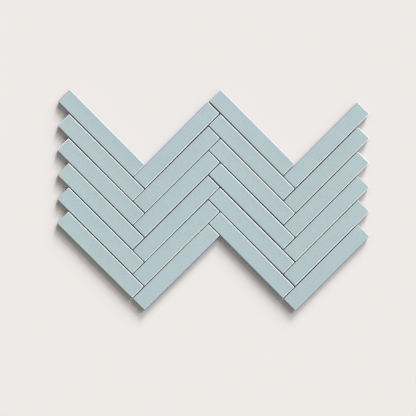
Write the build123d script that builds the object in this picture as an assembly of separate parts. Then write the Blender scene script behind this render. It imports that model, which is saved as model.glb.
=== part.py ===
from build123d import *
import os
from math import sqrt

# A sheet of herringbone mosaic: pressed ceramic sticks, laid in columns that lean left and
# right by turns, with their backs bonded to a net of laid threads. Sizes are in millimetres.
# The sheet lies face up. X runs across the columns and Y runs up them.

# One stick
stick_length = 145.6
stick_width = 22.6
stick_thickness = 6.0
corner_cut = 0.7
face_edge_radius = 0.4
back_edge_bevel = 0.4
draft_angle = 1.5

# Keying grooves pressed into the back of a stick
groove_count = 3
groove_width = 3.0
groove_depth = 0.5
groove_spacing = 6.0
groove_end_land = 7.0

# The sheet
columns = "abcd"
rows = 6
joint = 1.2
lean = 45.0

# The net under the sticks
thread_spacing = 5.0
thread_width = 0.9
thread_thickness = 0.25
net_setback = 3.0

# How each stick lies a little off the regular grid: slip along the stick and across it, as
# shares of the joint, and turn in degrees. Along is downhill in a leaning-left column and
# uphill in a leaning-right one, and across is upwards.
laid_off_grid = {
    "a1": (1.04, 0.11, -0.20),
    "a2": (0.83, -0.20, -0.09),
    "a3": (0.56, -0.34, 0.17),
    "a4": (0.31, -0.50, 0.13),
    "a5": (0.32, -0.64, 0.15),
    "a6": (-0.02, -0.69, 0.12),
    "b1": (0.31, -0.32, 0.24),
    "b2": (0.38, -0.56, -0.12),
    "b3": (0.44, -0.40, -0.18),
    "b4": (-0.18, -0.68, -0.04),
    "b5": (-0.21, -0.54, -0.40),
    "b6": (0.18, -0.31, -0.25),
    "c1": (0.02, 0.87, -0.18),
    "c2": (0.34, 0.57, -0.08),
    "c3": (0.71, 0.50, 0.05),
    "c4": (0.68, 0.35, -0.12),
    "c5": (0.68, -0.03, -0.03),
    "c6": (0.85, -0.11, -0.30),
    "d1": (0.32, -0.35, 0.04),
    "d2": (0.14, -0.64, 0.0),
    "d3": (0.01, -0.71, 0.07),
    "d4": (0.11, -0.76, 0.06),
    "d5": (-0.01, -0.65, -0.10),
    "d6": (-0.13, -0.79, 0.09),
}

net_thickness = 2 * thread_thickness
column_step = (stick_length + joint) / sqrt(2)
row_step = (stick_width + joint) * sqrt(2)


def stick():
    """One stick along X, face up, with its back at Z = 0."""
    with BuildPart() as blank:
        # The face lies on the mould's floor, and the sides draw in towards the back.
        with BuildSketch() as face:
            Rectangle(stick_length, stick_width)
            chamfer(face.vertices(), length=corner_cut)
        extrude(amount=stick_thickness, taper=draft_angle)
        face_edges = blank.faces().sort_by(Axis.Z)[0].edges()
        fillet(face_edges, radius=face_edge_radius)
        back = blank.faces().sort_by(Axis.Z)[-1]
        chamfer(back.edges(), length=back_edge_bevel)
        with BuildSketch(Plane.XY.offset(stick_thickness)):
            with GridLocations(0, groove_spacing, 1, groove_count):
                Rectangle(stick_length - 2 * groove_end_land, groove_width)
        extrude(amount=-groove_depth, mode=Mode.SUBTRACT)
    return Pos(0, 0, stick_thickness) * Rot(180, 0, 0) * blank.part


def grid_place(column, row):
    """Where a stick lies on the regular grid, and which way its column leans."""
    leans_left = column % 2 == 0
    half_stagger = row_step / 4 if leans_left else -row_step / 4
    x = (column - (len(columns) - 1) / 2) * column_step
    y = ((rows - 1) / 2 - row) * row_step + half_stagger
    return Pos(x, y) * Rot(0, 0, -lean if leans_left else lean)


def laid_place(column, row):
    """The regular place with the stick's own small slip and turn, on top of the net."""
    name = f"{columns[column]}{row + 1}"
    along, across, turn = laid_off_grid.get(name, (0.0, 0.0, 0.0))
    slip = Pos(along * joint, across * joint, net_thickness) * Rot(0, 0, turn)
    return grid_place(column, row) * slip


def net_outline():
    """The zigzag outline of the sheet, half a joint wide of the sticks, set back all round."""
    with BuildSketch() as cells:
        for column in range(len(columns)):
            for row in range(rows):
                with Locations(grid_place(column, row)):
                    Rectangle(stick_length + joint, stick_width + joint)
    return offset(cells.sketch, amount=-(net_setback + joint / 2), kind=Kind.INTERSECTION)


def threads(outline, runs_across, bottom):
    """Parallel threads with square-cut ends, as long as the outline lets each of them be."""
    size = outline.bounding_box().size
    reach = max(size.X, size.Y)
    count = int((size.Y if runs_across else size.X) / 2 / thread_spacing)
    turned = Rot(0, 0, 0 if runs_across else 90)
    laid = []
    for step in range(-count, count + 1):
        place = step * thread_spacing
        line = turned * Edge.make_line((-reach, place), (reach, place))
        crossing = outline & line
        for span in crossing.edges() if crossing else []:
            if span.length > thread_spacing:
                middle = span @ 0.5
                bar = Box(span.length, thread_width, thread_thickness)
                height = bottom + thread_thickness / 2
                laid.append(Pos(middle.X, middle.Y, height) * turned * bar)
    return Compound(children=laid)


def main():
    os.makedirs("parts", exist_ok=True)
    one_stick = stick()
    for column, letter in enumerate(columns):
        for row in range(rows):
            placed = laid_place(column, row) * one_stick
            export_step(placed, f"parts/stick_{letter}{row + 1}.step")
    outline = net_outline()
    export_step(threads(outline, False, 0), "parts/net_threads_up.step")
    export_step(threads(outline, True, thread_thickness), "parts/net_threads_across.step")


main()
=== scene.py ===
import math
import random
import bmesh
import bpy
import numpy as np
from mathutils import Matrix, Vector, noise


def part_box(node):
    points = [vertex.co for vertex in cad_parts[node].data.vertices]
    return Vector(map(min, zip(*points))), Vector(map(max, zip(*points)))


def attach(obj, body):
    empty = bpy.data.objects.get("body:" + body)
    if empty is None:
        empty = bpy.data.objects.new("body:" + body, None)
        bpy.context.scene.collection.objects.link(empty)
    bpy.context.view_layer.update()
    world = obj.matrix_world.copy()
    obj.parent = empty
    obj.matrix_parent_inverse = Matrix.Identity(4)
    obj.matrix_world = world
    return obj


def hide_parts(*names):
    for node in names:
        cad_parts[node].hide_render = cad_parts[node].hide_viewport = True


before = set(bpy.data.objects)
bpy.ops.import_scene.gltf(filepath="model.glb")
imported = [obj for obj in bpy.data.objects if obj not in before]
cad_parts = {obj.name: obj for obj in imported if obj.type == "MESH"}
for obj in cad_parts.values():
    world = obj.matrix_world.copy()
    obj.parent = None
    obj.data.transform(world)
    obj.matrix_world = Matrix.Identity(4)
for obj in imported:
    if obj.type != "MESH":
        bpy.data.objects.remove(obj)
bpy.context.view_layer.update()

scene = bpy.context.scene
random.seed(24)
mm = 0.001
hair = 0.001 * mm                        # closer together than this counts as one point
nearby = 0.01 * mm                       # as near to a level as this counts as on it
sharpTurn = math.radians(40)             # edges that turn by more than this are shaded sharp
noiseSpan = (0.3, 0.7)                   # where nearly all of a noise's values lie


def tint(red, green, blue):
    # a screen colour from 0 to 255, as the linear colour that shaders take
    def linear(value):
        value /= 255
        return value / 12.92 if value < 0.04045 else ((value + 0.055) / 1.055) ** 2.4
    return (linear(red), linear(green), linear(blue), 1.0)


# Reading the frame: where each stick and each thread of the net lies

stickNodes = sorted(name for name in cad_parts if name.startswith("stick_"))
backLevel, faceLevel = (corner.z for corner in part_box(stickNodes[0]))


def stickPlace(node):
    # the turn of a stick from the outline of its face, then its middle and its size
    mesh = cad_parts[node].data
    corners = np.array([vertex.co for vertex in mesh.vertices])
    low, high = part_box(node)
    face = corners[corners[:, 2] > high.z - nearby][:, :2]
    spread = np.cov(np.unique(face.round(7), axis=0).T)
    turn = 0.5 * math.atan2(2 * spread[0, 1], spread[0, 0] - spread[1, 1]) % math.pi
    along = np.array((math.cos(turn), math.sin(turn)))
    across = np.array((-along[1], along[0]))
    run, side = corners[:, :2] @ along, corners[:, :2] @ across
    middle = along * (run.max() + run.min()) / 2 + across * (side.max() + side.min()) / 2
    place = Matrix.Translation((*middle, low.z)) @ Matrix.Rotation(turn, 4, "Z")
    return place, (run.max() - run.min(), side.max() - side.min(), high.z - low.z)


def threadSpans(node):
    # the lowest and highest corner of each separate thread in one layer of the net
    bm = bmesh.new()
    bm.from_mesh(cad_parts[node].data)
    bmesh.ops.remove_doubles(bm, verts=bm.verts, dist=hair)
    waiting, spans = set(bm.verts), []
    for start in bm.verts:
        if start not in waiting:
            continue
        waiting.remove(start)
        reached, island = [start], []
        while reached:
            corner = reached.pop()
            island.append(corner.co[:])
            for edge in corner.link_edges:
                other = edge.other_vert(corner)
                if other in waiting:
                    waiting.remove(other)
                    reached.append(other)
        spans.append((np.min(island, axis=0), np.max(island, axis=0)))
    bm.free()
    return spans


# Mesh tools that more than one piece uses

def pick(parts, kind):
    return [part for part in parts if isinstance(part, kind)]


def turnPart(bm, verts, angle, axis):
    bmesh.ops.rotate(bm, cent=(0, 0, 0), matrix=Matrix.Rotation(angle, 3, axis), verts=verts)


def bevelEdges(bm, edges, width, steps):
    bmesh.ops.bevel(bm, geom=edges, offset=width, offset_type="OFFSET", segments=steps,
                    profile=0.5, affect="EDGES", material=-1)


def cutAcross(bm, point, normal, dropOuter=False):
    # the new edges that a plane cuts, and what is past the plane may go
    everything = bm.verts[:] + bm.edges[:] + bm.faces[:]
    cut = bmesh.ops.bisect_plane(bm, geom=everything, plane_co=point, plane_no=normal,
                                 dist=hair, clear_outer=dropOuter)["geom_cut"]
    return pick(cut, bmesh.types.BMEdge)


def finishPiece(bm, name, material, replaced=()):
    bmesh.ops.remove_doubles(bm, verts=bm.verts, dist=hair)
    bmesh.ops.recalc_face_normals(bm, faces=bm.faces)
    for face in bm.faces:
        face.smooth = True
    mesh = bpy.data.meshes.new(name)
    bm.to_mesh(mesh)
    bm.free()
    mesh.set_sharp_from_angle(angle=sharpTurn)
    mesh.materials.append(material)
    piece = bpy.data.objects.new(name, mesh)
    scene.collection.objects.link(piece)
    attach(piece, "root")
    if replaced:
        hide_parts(*replaced)


# Shader parts that more than one finish uses

def newGroup(name, inputs, output):
    group = bpy.data.node_groups.new(name, "ShaderNodeTree")
    group.interface.new_socket("Vector", in_out="INPUT", socket_type="NodeSocketVector")
    for label, value in inputs.items():
        socket = group.interface.new_socket(label, in_out="INPUT", socket_type="NodeSocketFloat")
        socket.default_value = value
    group.interface.new_socket(output, in_out="OUTPUT", socket_type="NodeSocketFloat")
    given, result = group.nodes.new("NodeGroupInput"), group.nodes.new("NodeGroupOutput")
    return group, given.outputs, result.inputs[output]


def feed(tree, socket, value):
    # a number or colour is set on the socket, anything else is linked to it
    if isinstance(value, (int, float, tuple)):
        socket.default_value = value
    else:
        tree.links.new(value, socket)


def addNode(tree, kind, **settings):
    node = tree.nodes.new(kind)
    for key, value in settings.items():
        setattr(node, key, value)
    return node


def addMath(tree, operation, *values, clamp=False):
    node = addNode(tree, "ShaderNodeMath", operation=operation, use_clamp=clamp)
    for socket, value in zip(node.inputs, values):
        feed(tree, socket, value)
    return node.outputs[0]


def addNoise(tree, vector, scale, detail=2.0, rough=0.5):
    node = addNode(tree, "ShaderNodeTexNoise")
    given = {"Vector": vector, "Scale": scale, "Detail": detail, "Roughness": rough}
    for label, value in given.items():
        feed(tree, node.inputs[label], value)
    return node.outputs["Fac"]


def addRange(tree, value, fromLow, fromHigh, toLow=0.0, toHigh=1.0, smooth=True):
    steps = "SMOOTHSTEP" if smooth else "LINEAR"
    node = addNode(tree, "ShaderNodeMapRange", interpolation_type=steps)
    given = {"Value": value, "From Min": fromLow, "From Max": fromHigh,
             "To Min": toLow, "To Max": toHigh}
    for label, part in given.items():
        feed(tree, node.inputs[label], part)
    return node.outputs["Result"]


def addMix(tree, factor, first, second):
    node = addNode(tree, "ShaderNodeMix", data_type="RGBA")
    sockets = node.inputs[0], node.inputs[6], node.inputs[7]  # the factor and the two colours
    for socket, value in zip(sockets, (factor, first, second)):
        feed(tree, socket, value)
    return node.outputs[2]


def addHeight(tree, where):
    node = addNode(tree, "ShaderNodeSeparateXYZ")
    tree.links.new(where, node.inputs[0])
    return node.outputs["Z"]


def addBump(tree, height, distance, strength):
    node = addNode(tree, "ShaderNodeBump")
    node.inputs["Distance"].default_value = distance
    node.inputs["Strength"].default_value = strength
    tree.links.new(height, node.inputs["Height"])
    return node.outputs["Normal"]


def makeMottleGroup():
    # soft clouds and fine specks, as one value round 0
    inputs = {"Cloud Scale": 30.0, "Speck Scale": 700.0, "Cloud": 0.5, "Speck": 0.5}
    group, given, result = newGroup("mottle", inputs, "Value")
    parts = []
    for kind, detail in (("Cloud", 3.0), ("Speck", 1.0)):
        pattern = addNoise(group, given["Vector"], given[kind + " Scale"], detail=detail)
        pattern = addMath(group, "SUBTRACT", pattern, 0.5)
        parts.append(addMath(group, "MULTIPLY", pattern, given[kind]))
    group.links.new(addMath(group, "ADD", *parts), result)
    return group


def makeGrainGroup():
    # a fine grainy height with pits, for fired clay and dried glue
    group, given, result = newGroup("grain", {"Scale": 1500.0, "Pits": 0.3}, "Height")
    pitScale = addMath(group, "MULTIPLY", given["Scale"], given["Pits"])
    fine = addNoise(group, given["Vector"], given["Scale"], detail=4.0, rough=0.7)
    coarse = addNoise(group, given["Vector"], pitScale, detail=1.0)
    pits = addRange(group, coarse, 0.30, 0.42)
    group.links.new(addMath(group, "MULTIPLY", fine, pits), result)
    return group


mottleGroup = makeMottleGroup()
grainGroup = makeGrainGroup()


def placeGroup(tree, group, where, values):
    node = addNode(tree, "ShaderNodeGroup", node_tree=group)
    tree.links.new(where, node.inputs["Vector"])
    for label, value in values.items():
        node.inputs[label].default_value = value
    return node.outputs[0]


def startMaterial(name):
    material = bpy.data.materials.new(name)
    material.use_nodes = True
    tree = material.node_tree
    where = addNode(tree, "ShaderNodeTexCoord").outputs["Object"]
    return material, tree, tree.nodes["Principled BSDF"], where


def setFinish(tree, shader, colour, rough, normal):
    for label, value in (("Base Color", colour), ("Roughness", rough), ("Normal", normal)):
        tree.links.new(value, shader.inputs[label])


# The glazed sticks

glazeLook = {
    "colour": tint(186, 205.5, 209.5),
    "cloudColour": tint(174.5, 193, 197),
    "middle": 0.5,                       # how much of the cloud colour there is on the whole
    "mottle": {"Cloud Scale": 38.0, "Speck Scale": 700.0, "Cloud": 0.6, "Speck": 1.7},
    "rimHighlightAndThinGlueColour": tint(243, 246, 248),   # a painted highlight on the rim
    # a painted shade on the rim
    "rimShadeColour": tint(158, 175, 183),
    "rimPatchScale": 140.0,              # along the rim the painted highlight and shade are weaker and stronger by turns
    "rimPatches": (0.7, 1.3),
    "roughness": (0.32, 0.41),
    "roughnessSpan": (-0.3, 0.3),        # the values of the mottle that it goes with
    "bodyColour": tint(122, 111, 115),
    "bodyDark": tint(98, 88, 93),
    "bodyMiddle": 0.4,
    "bodyMottle": {"Cloud Scale": 60.0, "Speck Scale": 1100.0, "Cloud": 0.8, "Speck": 0.9},
    "bodyRoughness": 0.86,
    "glazeDrop": 0.5 * mm,               # how far the glaze runs down the sides
    "glazeWander": 0.4 * mm,
    "glazeWanderScale": 90.0,
    "glazeFade": 0.2 * mm,
    "peelScale": 420.0,
    "peelShare": 0.10,                   # how high the orange peel is beside the clay's grain
    "grainScale": 2200.0,
    "reliefDepth": 0.06 * mm,
    "reliefStrength": 0.6,
    "ior": 1.5,
}


def makeGlaze():
    look = glazeLook
    material, tree, shader, where = startMaterial("satinGlaze")
    # the tone holds each stick's own tone and a painted shade across and along its face
    toneAndShade = addNode(tree, "ShaderNodeAttribute", attribute_name="toneAndShade").outputs["Fac"]
    # the rim value is how strong the painted highlight or shade on the rim is
    rim = addNode(tree, "ShaderNodeAttribute", attribute_name="rim").outputs["Fac"]

    mottle = placeGroup(tree, mottleGroup, where, look["mottle"])
    shade = addMath(tree, "ADD", addMath(tree, "ADD", mottle, toneAndShade), look["middle"], clamp=True)
    glaze = addMix(tree, shade, look["colour"], look["cloudColour"])

    # towards the rim a painted highlight lies on some sides and a painted shade on others
    patches = addNoise(tree, where, look["rimPatchScale"])
    patches = addRange(tree, patches, *noiseSpan, *look["rimPatches"])
    rim = addMath(tree, "MULTIPLY", rim, patches)
    rimHighlight = addMath(tree, "MAXIMUM", rim, 0.0, clamp=True)
    rimShade = addMath(tree, "MULTIPLY", rim, -1.0, clamp=True)
    glaze = addMix(tree, rimHighlight, glaze, look["rimHighlightAndThinGlueColour"])
    glaze = addMix(tree, rimShade, glaze, look["rimShadeColour"])

    # below the glaze line the sides and the back are bare fired clay
    wander = addNoise(tree, where, look["glazeWanderScale"], detail=3.0)
    lowest = faceLevel - look["glazeDrop"] - look["glazeWander"] / 2
    line = addMath(tree, "MULTIPLY_ADD", wander, look["glazeWander"], lowest)
    faded = addMath(tree, "ADD", line, look["glazeFade"])
    bare = addRange(tree, addHeight(tree, where), faded, line)
    clay = placeGroup(tree, mottleGroup, where, look["bodyMottle"])
    clay = addMath(tree, "ADD", clay, look["bodyMiddle"], clamp=True)
    clay = addMix(tree, clay, look["bodyColour"], look["bodyDark"])

    rough = addRange(tree, mottle, *look["roughnessSpan"], *look["roughness"], smooth=False)
    rough = addRange(tree, bare, 0.0, 1.0, rough, look["bodyRoughness"], smooth=False)

    # a faint orange peel on the glaze, a sandy grain on the clay
    peel = addNoise(tree, where, look["peelScale"], rough=0.45)
    peel = addMath(tree, "MULTIPLY", peel, look["peelShare"])
    grain = placeGroup(tree, grainGroup, where, {"Scale": look["grainScale"]})
    relief = addRange(tree, bare, 0.0, 1.0, peel, grain, smooth=False)
    relief = addBump(tree, relief, look["reliefDepth"], look["reliefStrength"])

    setFinish(tree, shader, addMix(tree, bare, glaze, clay), rough, relief)
    shader.inputs["IOR"].default_value = look["ior"]
    return material


stickForm = {
    "cornerRadius": (1.0 * mm, 1.5 * mm),
    "softCorner": 1.9 * mm,
    "softSticks": ("stick_d1", "stick_d2", "stick_d3"),
    "edgeRadius": 0.4 * mm,
    "edgeSteps": 5,
    "backBevel": 0.4 * mm,
    "backSteps": 2,
    "draft": math.radians(1.5),
    # fired sticks differ a little in size: mm added at the right, left, head and foot of a
    # column's sticks, and of the sticks that differ from their column
    "trim": {
        "a": (0, 0, 1.2, 0), "b": (0, 0, 0.15, 0.5), "c": (-0.1, 0, 0, 0), "d": (0, 0, -0.9, 0),
        "a1": (0.5, 0, 1.7, 0), "a2": (0, 0, 1.8, 0), "a3": (0, 0, 2.1, 0),
        "a5": (0, 0, 1.4, 0), "a6": (0, 0, 1.5, 0),
        "b1": (0, 0.4, 0.15, 0.5),
        "d1": (0, 0.7, -0.9, 0), "d2": (0, 0, -0.4, 0), "d3": (0, 0, -0.5, 0),
        "d5": (0, 0, -0.4, 0), "d6": (0, 0, -0.6, 0),
    },
    "dish": 0.02 * mm,                   # the face is a little hollow
    "ripple": 0.02 * mm,
    "rippleScale": 45.0,
    "ringSpacing": 6.0 * mm,
    "grooveCount": 3,
    "grooveWidth": 3.0 * mm,
    "grooveDepth": 0.5 * mm,
    "grooveSpacing": 6.0 * mm,
    "grooveEndLand": 7.0 * mm,
    # a painted highlight (above 0) or painted shade (below 0) on the rim at the same four places
    "rimWidth": 1.0 * mm,
    "rim": {
        "a": (0.7, -0.2, -0.3, 1.0), "b": (1.2, -0.2, 0.7, 0.0),
        "c": (1.1, -0.2, 0.3, 1.1), "d": (1.2, -0.2, 0.1, 0.0),
        "a1": (0.4, -0.2, -1.5, 1.0), "a2": (0.7, -0.2, 0.5, 1.0), "a3": (0.7, -0.2, 0.8, 1.0),
        "a6": (0.7, -0.6, -0.3, 1.0),
        "b1": (1.2, -3.0, 0.7, 0.0), "b6": (0.4, -0.2, 0.7, 0.0),
        "c1": (0.3, -0.2, 0.3, 1.1), "c6": (1.1, -2.5, 0.3, 1.1),
        "d1": (1.2, -3.0, 0.1, 0.0), "d2": (1.2, -0.2, 0.6, 0.0), "d3": (1.2, -0.2, 0.8, 0.0),
        "d6": (0.4, -0.2, 0.1, 0.0),
    },
    # how a face's tone varies: above 0 is darker; all but the spread from stick to stick is
    # painted shade
    "toneSpread": 0.05,                  # from stick to stick
    "shadeDrift": -0.10,                  # painted shade, towards the upper end
    "shadeBow": 0.08,                     # painted shade, towards both sides
    "shadeLean": {"a": -0.12, "b": 0.0, "c": -0.06, "d": 0.0},  # painted shade, towards the left side
}


def forStick(values, node):
    # a stick's own values, or else its column's
    stick, column = node[-2:], node[-2]
    return values.get(stick, values[column])


def pressGrooves(bm, length):
    form = stickForm
    count = form["grooveCount"]
    halfLength = length / 2 - form["grooveEndLand"]
    halfWidth = form["grooveWidth"] / 2
    middles = [(i - (count - 1) / 2) * form["grooveSpacing"] for i in range(count)]
    for end in (-halfLength, halfLength):
        cutAcross(bm, (end, 0, 0), (1, 0, 0))
    for middle in middles:
        for side in (-halfWidth, halfWidth):
            cutAcross(bm, (0, middle + side, 0), (0, 1, 0))
    bm.normal_update()
    floor = []
    for face in bm.faces:
        spot = face.calc_center_median()
        facesDown = face.normal.z < -0.99
        inLine = any(abs(spot.y - middle) < halfWidth for middle in middles)
        if facesDown and inLine and abs(spot.x) < halfLength:
            floor.append(face)
    raised = bmesh.ops.extrude_face_region(bm, geom=floor)["geom"]
    bmesh.ops.delete(bm, geom=floor, context="FACES_ONLY")
    bmesh.ops.translate(bm, vec=(0, 0, form["grooveDepth"]),
                        verts=pick(raised, bmesh.types.BMVert))


def buildStick(node, material):
    form = stickForm
    place, (length, width, thickness) = stickPlace(node)
    atRight, atLeft, atHead, atFoot = (part * mm for part in forStick(form["trim"], node))
    place = place @ Matrix.Translation(((atHead - atFoot) / 2, (atLeft - atRight) / 2, 0))
    length, width = length + atHead + atFoot, width + atLeft + atRight
    bm = bmesh.new()
    bmesh.ops.create_cube(bm, size=1.0)
    bmesh.ops.scale(bm, vec=(length, width, thickness), verts=bm.verts)
    bmesh.ops.translate(bm, vec=(0, 0, thickness / 2), verts=bm.verts)

    # the sides draw in towards the back
    drawIn = thickness * math.tan(form["draft"])
    back = [corner for corner in bm.verts if corner.co.z < thickness / 2]
    bmesh.ops.scale(bm, vec=(1 - 2 * drawIn / length, 1 - 2 * drawIn / width, 1), verts=back)

    radius = random.uniform(*form["cornerRadius"])
    if node in form["softSticks"]:
        radius = form["softCorner"]
    upright = [edge for edge in bm.edges
               if abs(edge.verts[0].co.z - edge.verts[1].co.z) > thickness / 2]
    bevelEdges(bm, upright, radius, form["edgeSteps"])
    faceRim = [edge for edge in bm.edges if min(v.co.z for v in edge.verts) > thickness - hair]
    bevelEdges(bm, faceRim, form["edgeRadius"], form["edgeSteps"])
    backRim = [edge for edge in bm.edges if max(v.co.z for v in edge.verts) < hair]
    bevelEdges(bm, backRim, form["backBevel"], form["backSteps"])

    # cuts inside the arris bound the rim of the face, and rings let the face be a little uneven
    inside = form["edgeRadius"] + form["rimWidth"]
    for side in (-1, 1):
        cutAcross(bm, (0, side * (width / 2 - inside), 0), (0, 1, 0))
        cutAcross(bm, (side * (length / 2 - inside), 0, 0), (1, 0, 0))
    rings = int(length / form["ringSpacing"])
    for i in range(1, rings):
        cutAcross(bm, ((i / rings - 0.5) * length, 0, 0), (1, 0, 0))
    pressGrooves(bm, length)

    seed = Vector((random.uniform(-9, 9), random.uniform(-9, 9), 0))
    shade = random.uniform(-form["toneSpread"], form["toneSpread"])
    toneShadeLayer = bm.verts.layers.float.new("toneAndShade")
    rimLightLayer = bm.verts.layers.float.new("rim")
    right, left, head, foot = forStick(form["rim"], node)
    lean = forStick(form["shadeLean"], node)
    for corner in bm.verts:
        x, y = corner.co.x / (length / 2), corner.co.y / (width / 2)
        # the drift, bow and lean add painted shade to each stick's own tone
        corner[toneShadeLayer] = shade + form["shadeDrift"] * x + form["shadeBow"] * y * y + lean * y
        # each side and end of the rim gets its painted highlight or painted shade
        if abs(corner.co.y) > width / 2 - inside + hair:
            corner[rimLightLayer] = right if y < 0 else left
        elif abs(corner.co.x) > length / 2 - inside + hair:
            corner[rimLightLayer] = head if x > 0 else foot
        if corner.co.z > thickness / 2:
            hollow = form["dish"] * max(0, 1 - y * y)
            wave = noise.noise(corner.co * form["rippleScale"] + seed)
            corner.co.z -= hollow + form["ripple"] * (0.5 + 0.5 * wave)
    bmesh.ops.transform(bm, matrix=place, verts=bm.verts)
    finishPiece(bm, f"glazed_{node}", material, (node,))
    return place, (length, width)


satinGlaze = makeGlaze()
stickPlaces = [buildStick(stickNode, satinGlaze) for stickNode in stickNodes]
print("sticks done", len(stickNodes))


# The net of glass-fibre threads under the sticks, woven over and under

netLook = {
    "threadColour": tint(236, 236, 230),
    "fibreDark": tint(206, 206, 198),
    "mottle": {"Cloud Scale": 120.0, "Speck Scale": 2400.0, "Cloud": 0.6, "Speck": 0.8},
    "fibreSpan": (0.35, 0.65),           # the filament noise from dark to pale
    "fibrePattern": (60.0, 9.0, 3.7),    # its scales along, across and from thread to thread
    "roughness": (0.72, 0.52),
    "reliefDepth": 0.05 * mm,
    "reliefStrength": 0.7,
    "threadSides": 6,
    "threadFlat": 0.20 * mm,             # how thick a flattened thread is
    "weaveRise": 0.11 * mm,
    "sideWander": 0.14 * mm,
    "wanderPattern": (70.0, 5.1),        # its scales along and from thread to thread
    "wanderShift": {"net_threads_across": 3.0, "net_threads_up": 8.0},
}


def makeThreadMaterial():
    look = netLook
    material, tree, shader, where = startMaterial("glassFibre")
    # fine filaments run along a thread, so the noise is drawn out along it
    along = addNode(tree, "ShaderNodeAttribute", attribute_name="fibre").outputs["Vector"]
    filament = addNoise(tree, along, 1.0)
    mottle = placeGroup(tree, mottleGroup, where, look["mottle"])
    shade = addRange(tree, filament, *look["fibreSpan"])
    shade = addMath(tree, "ADD", mottle, shade, clamp=True)
    colour = addMix(tree, shade, look["fibreDark"], look["threadColour"])
    rough = addRange(tree, filament, *noiseSpan, *look["roughness"], smooth=False)
    relief = addBump(tree, filament, look["reliefDepth"], look["reliefStrength"])
    setFinish(tree, shader, colour, rough, relief)
    return material


def buildThreads(node, material, runsAcross):
    look = netLook
    main, side = (0, 1) if runsAcross else (1, 0)
    spans = sorted(threadSpans(node), key=lambda span: (span[0][side], span[0][main]))
    middles = sorted({round((low[side] + high[side]) / 2, 6) for low, high in spans})
    spacing = min(b - a for a, b in zip(middles, middles[1:]))
    width = spans[0][1][side] - spans[0][0][side]
    netMiddle = (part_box("net_threads_up")[0].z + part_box("net_threads_across")[1].z) / 2

    bm = bmesh.new()
    cornerHeight = look["threadFlat"] / 2 / math.cos(math.pi / look["threadSides"])
    for low, high in spans:
        # a flat many-sided section drawn out to the thread's length
        ring = bmesh.ops.create_circle(bm, segments=look["threadSides"], radius=1.0,
                                       cap_ends=True)["verts"]
        bmesh.ops.scale(bm, vec=(width / 2, cornerHeight, 1), verts=ring)
        turnPart(bm, ring, math.radians(90), "X")
        if runsAcross:
            turnPart(bm, ring, math.radians(-90), "Z")
        start = [0, 0, netMiddle]
        start[main], start[side] = low[main], (low[side] + high[side]) / 2
        bmesh.ops.translate(bm, vec=start, verts=ring)
        cap = list({face for corner in ring for face in corner.link_faces})
        drawn = bmesh.ops.extrude_face_region(bm, geom=cap)["geom"]
        reach = [0, 0, 0]
        reach[main] = high[main] - low[main]
        bmesh.ops.translate(bm, vec=reach, verts=pick(drawn, bmesh.types.BMVert))

    # cut at each crossing and half way between, then lift and sink by turns
    low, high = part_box(node)
    normal = Vector((1, 0, 0)) if runsAcross else Vector((0, 1, 0))
    first, last = math.ceil(low[main] / spacing * 2), math.floor(high[main] / spacing * 2)
    for step in range(first, last + 1):
        cutAcross(bm, normal * step * spacing / 2, normal)
    fibre = bm.verts.layers.float_vector.new("fibre")
    alongScale, acrossScale, threadScale = look["fibrePattern"]
    wanderScale, wanderStep = look["wanderPattern"]
    lift = look["weaveRise"] * (-1 if runsAcross else 1)
    for corner in bm.verts:
        run = corner.co[main]
        line = round(corner.co[side] / spacing)
        aside = (corner.co[side] / spacing - line) * spacing / mm
        corner[fibre] = (run * alongScale, aside * acrossScale, line * threadScale)
        corner.co.z += lift * (-1) ** line * math.cos(math.pi * run / spacing)
        spot = Vector((run * wanderScale, line * wanderStep, look["wanderShift"][node]))
        corner.co[side] += look["sideWander"] * noise.noise(spot)
    finishPiece(bm, node.replace("net_threads", "woven"), material, (node,))


glassFibre = makeThreadMaterial()
buildThreads("net_threads_up", glassFibre, False)
buildThreads("net_threads_across", glassFibre, True)
print("net done")


# Spots of glue that hold the sticks to the net

glueLook = {
    "colour": tint(232, 228, 214),
    "rimHighlightAndThinGlueColour": tint(204, 196, 184),
    "middle": 0.5,
    "mottle": {"Cloud Scale": 250.0, "Speck Scale": 1500.0, "Cloud": 0.9, "Speck": 0.3},
    "roughness": (0.54, 0.36),
    "grainScale": 900.0,
    "reliefDepth": 0.05 * mm,
    "reliefStrength": 0.5,
    "ior": 1.47,
    "spotSpacing": 16.0 * mm,
    "spotSide": 6.0 * mm,                # how far spots lie off the stick's middle line, by turns
    "stray": (2.0 * mm, 1.0 * mm),       # along the stick and across it
    "spotRadius": (2.4 * mm, 3.4 * mm),
    "stretch": (0.85, 1.25),
    "uneven": 0.25,
    "unevenScale": 300.0,
    "rise": 0.40 * mm,
    "bite": 0.01 * mm,                   # how deep a spot goes into the stick's back
}


def makeGlueMaterial():
    look = glueLook
    material, tree, shader, where = startMaterial("driedGlue")
    shade = placeGroup(tree, mottleGroup, where, look["mottle"])
    shade = addMath(tree, "ADD", shade, look["middle"], clamp=True)
    colour = addMix(tree, shade, look["rimHighlightAndThinGlueColour"], look["colour"])
    rough = addRange(tree, shade, 0.0, 1.0, *look["roughness"], smooth=False)
    relief = placeGroup(tree, grainGroup, where, {"Scale": look["grainScale"]})
    relief = addBump(tree, relief, look["reliefDepth"], look["reliefStrength"])
    setFinish(tree, shader, colour, rough, relief)
    shader.inputs["IOR"].default_value = look["ior"]
    return material


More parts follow.
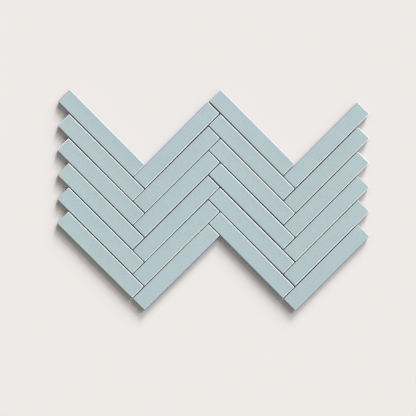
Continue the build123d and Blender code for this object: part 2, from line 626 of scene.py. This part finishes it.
def buildGlue(material):
    look = glueLook
    strayAlong, strayAcross = look["stray"]
    bm = bmesh.new()
    for place, (length, width) in stickPlaces:
        count = int(length / look["spotSpacing"])
        for i in range(count):
            x = ((i + 0.5) / count - 0.5) * length + random.uniform(-1, 1) * strayAlong
            y = look["spotSide"] * (1 if i % 2 else -1) + random.uniform(-1, 1) * strayAcross
            radius = random.uniform(*look["spotRadius"])
            stretched = radius * random.uniform(*look["stretch"])
            turn = random.uniform(0, 3)
            centre = place @ Vector((x, y, 0))
            spot = bmesh.ops.create_icosphere(bm, subdivisions=2, radius=1.0)["verts"]
            bmesh.ops.scale(bm, vec=(stretched, radius, look["rise"]), verts=spot)
            turnPart(bm, spot, turn, "Z")
            for corner in spot:
                where = Vector((corner.co.x, corner.co.y, i)) * look["unevenScale"]
                corner.co.xy *= 1 + look["uneven"] * noise.noise(where + centre * 90)
            bmesh.ops.translate(bm, vec=centre, verts=spot)
    # the upper half would lie inside the sticks
    rim = cutAcross(bm, (0, 0, backLevel + look["bite"]), (0, 0, 1), dropOuter=True)
    bmesh.ops.holes_fill(bm, edges=rim, sides=0)
    finishPiece(bm, "glue_spots", material)


buildGlue(makeGlueMaterial())
print("glue done")


# Stage, light and camera

stageLook = {
    "floorColour": tint(238, 234, 231),
    "floorShades": (0.995, 1.005),
    "floorShadeScale": 3.0,
    "floorSize": 10.0,
    "floorDrop": 0.05 * mm,
    # each lamp: turn from +X, rise over the floor and width, in degrees, then how brightly it
    # lights the floor
    "lamps": {
        "keyLow": (71.0, 18.6, 16.8, 0.315),
        "keyHigh": (51.8, 26.5, 43.5, 0.397),
        "soft": (-42.0, 49.0, 34.0, 0.018),
    },
    "fillLevel": 0.27,
    "horizonLevel": 0.9,
    "horizonBand": (0.85, 0.1),          # the sky pales from the first height to the second
}


def makeFloor():
    look = stageLook
    material, tree, shader, where = startMaterial("paleFloor")
    red, green, blue, solid = look["floorColour"]
    dark, pale = ((red * part, green * part, blue * part, solid) for part in look["floorShades"])
    colour = addMix(tree, addNoise(tree, where, look["floorShadeScale"]), dark, pale)
    feed(tree, shader.inputs["Base Color"], colour)
    shader.inputs["Roughness"].default_value = 1.0
    shader.inputs["Specular IOR Level"].default_value = 0.0
    bm = bmesh.new()
    bmesh.ops.create_grid(bm, x_segments=1, y_segments=1, size=look["floorSize"] / 2)
    bmesh.ops.translate(bm, vec=(0, 0, -look["floorDrop"]), verts=bm.verts)
    mesh = bpy.data.meshes.new("floor")
    bm.to_mesh(mesh)
    bm.free()
    mesh.materials.append(material)
    floor = bpy.data.objects.new("floor", mesh)
    scene.collection.objects.link(floor)


def makeLamps():
    for name, (turn, rise, width, light) in stageLook["lamps"].items():
        turn, rise = math.radians(turn), math.radians(rise)
        sun = bpy.data.lights.new(name, "SUN")
        sun.angle = math.radians(width)
        sun.energy = math.pi * light / math.sin(rise)
        lamp = bpy.data.objects.new(name, sun)
        scene.collection.objects.link(lamp)
        level = math.cos(rise)
        towards = Vector((math.cos(turn) * level, math.sin(turn) * level, math.sin(rise)))
        lamp.rotation_euler = towards.to_track_quat("Z", "Y").to_euler()


def makeWorld():
    # an even fill, and a pale horizon that only the camera and reflections see
    look = stageLook
    world = bpy.data.worlds.new("studio")
    scene.world = world
    world.use_nodes = True
    tree = world.node_tree
    background = tree.nodes["Background"]
    up = addHeight(tree, addNode(tree, "ShaderNodeTexCoord").outputs["Generated"])
    horizon = addRange(tree, up, *look["horizonBand"], look["fillLevel"], look["horizonLevel"])
    path = addNode(tree, "ShaderNodeLightPath").outputs
    seen = addMath(tree, "ADD", path["Is Camera Ray"], path["Is Glossy Ray"], clamp=True)
    seen = addMath(tree, "ADD", seen, path["Is Transmission Ray"], clamp=True)
    level = addRange(tree, seen, 0.0, 1.0, look["fillLevel"], horizon, smooth=False)
    feed(tree, background.inputs["Strength"], level)
    background.inputs["Color"].default_value = (1.0, 1.0, 1.0, 1.0)
    scene.cycles.caustics_reflective = False


cameraLook = {
    "aim": (-7.78 * mm, -11.12 * mm),
    "field": 575.0 * mm,                 # what the picture takes in at the faces' level
    "lens": 100.0,
    "sensor": 36.0,
    "pixelFilter": 1.2,                  # a little crisper than the default
}


def makeCamera():
    look = cameraLook
    data = bpy.data.cameras.new("camera")
    data.sensor_width = look["sensor"]
    data.lens = look["lens"]
    camera = bpy.data.objects.new("camera", data)
    scene.collection.objects.link(camera)
    away = look["field"] * look["lens"] / look["sensor"]
    camera.location = (*look["aim"], faceLevel + away)
    scene.camera = camera
    scene.cycles.filter_width = look["pixelFilter"]


makeFloor()
makeLamps()
makeWorld()
makeCamera()
scene.view_settings.view_transform = "Standard"
print("stage done")
